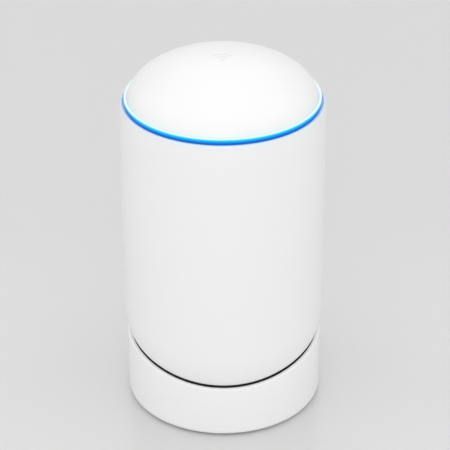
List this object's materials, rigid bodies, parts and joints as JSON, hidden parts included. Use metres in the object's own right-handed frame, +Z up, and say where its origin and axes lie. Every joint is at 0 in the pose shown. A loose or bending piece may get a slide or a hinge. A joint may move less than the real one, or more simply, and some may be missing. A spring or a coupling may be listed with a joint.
{
  "type": "mesh wifi node",
  "caption": "Tall white domed wifi node with a glowing ring under its cap, a thin dark wavy seam above its white stand, and a recessed bay of network sockets and a mains inlet in its back.",
  "frame": {"origin": "centre of the foot ring on the surface that it stands on", "axes": "+Z up along the body, -Y towards the front, +Y towards the port bay"},
  "size_m": [0.11, 0.11, 0.2047],
  "materials": {
    "shell_white": "satin white",
    "base_grey": "fine matt texture",
    "foot_rubber": "matt",
    "light_guide": "clear light guide, lit from below",
    "clear_plastic": "clear",
    "board_green": "solder mask",
    "black_plastic": "fine matt texture",
    "lead_black": "smooth",
    "lead_white": "smooth",
    "tinned_steel": "tin plated",
    "contact_gold": "gold plated",
    "heatsink_aluminium": "extruded",
    "frame_grey": "moulded",
    "tape_yellow": "film",
    "screw_steel": "zinc plated"
  },
  "bodies": {
    "housing": {"antenna_1": "tinned_steel", "antenna_2": "tinned_steel", "antenna_3": "tinned_steel", "antenna_4": "tinned_steel", "antenna_deck": "board_green", "antenna_lead_1": "lead_black", "antenna_lead_2": "lead_black", "antenna_lead_3": "lead_black", "antenna_lead_4": "lead_black", "base_plate": "base_grey", "base_screw_1": "screw_steel", "base_screw_2": "screw_steel", "base_screw_3": "screw_steel", "base_screw_4": "screw_steel", "bulk_capacitor": "black_plastic", "core_frame": "frame_grey", "fan_frame": "black_plastic", "fan_screw_1": "screw_steel", "fan_screw_2": "screw_steel", "fan_screw_3": "screw_steel", "fan_screw_4": "screw_steel", "foot_ring": "foot_rubber", "heatsink": "heatsink_aluminium", "inlet_pin_left": "tinned_steel", "inlet_pin_right": "tinned_steel", "jack_contacts_lan_1": "contact_gold", "jack_contacts_lan_2": "contact_gold", "jack_contacts_lan_3": "contact_gold", "jack_contacts_lan_4": "contact_gold", "jack_contacts_wan": "contact_gold", "jack_insert_lan_1": "black_plastic", "jack_insert_lan_2": "black_plastic", "jack_insert_lan_3": "black_plastic", "jack_insert_lan_4": "black_plastic", "jack_insert_wan": "black_plastic", "jack_shield_lan_1": "tinned_steel", "jack_shield_lan_2": "tinned_steel", "jack_shield_lan_3": "tinned_steel", "jack_shield_lan_4": "tinned_steel", "jack_shield_wan": "tinned_steel", "led_ring_board": "board_green", "light_ring": "light_guide", "main_board": "board_green", "outer_shell": "shell_white", "port_bezel": "shell_white", "port_light_pipe": "clear_plastic", "power_board": "board_green", "power_inlet": "black_plastic", "power_lead_live": "lead_black", "power_lead_neutral": "lead_white", "processor": "black_plastic", "radio_shield_left": "tinned_steel", "radio_shield_right": "tinned_steel", "reset_switch": "black_plastic", "seam_ring": "black_plastic", "stand_housing": "shell_white", "top_dome": "shell_white", "transformer": "tape_yellow"},
    "fan": {"fan_rotor": "black_plastic"},
    "reset": {"reset_button": "base_grey"}
  },
  "joints": [
    {"name": "fan_spin", "type": "hinge", "parent": "housing", "child": "fan", "pos_m": [0, 0, 0.0422], "axis": [0, 0, 1], "continuous": true},
    {"name": "reset_press", "type": "slide", "parent": "housing", "child": "reset", "axis": [0, -1, 0], "range_m": [0, 0.0005], "stiffness_N_per_m": 1500, "springref_m": -0.0005}
  ]
}
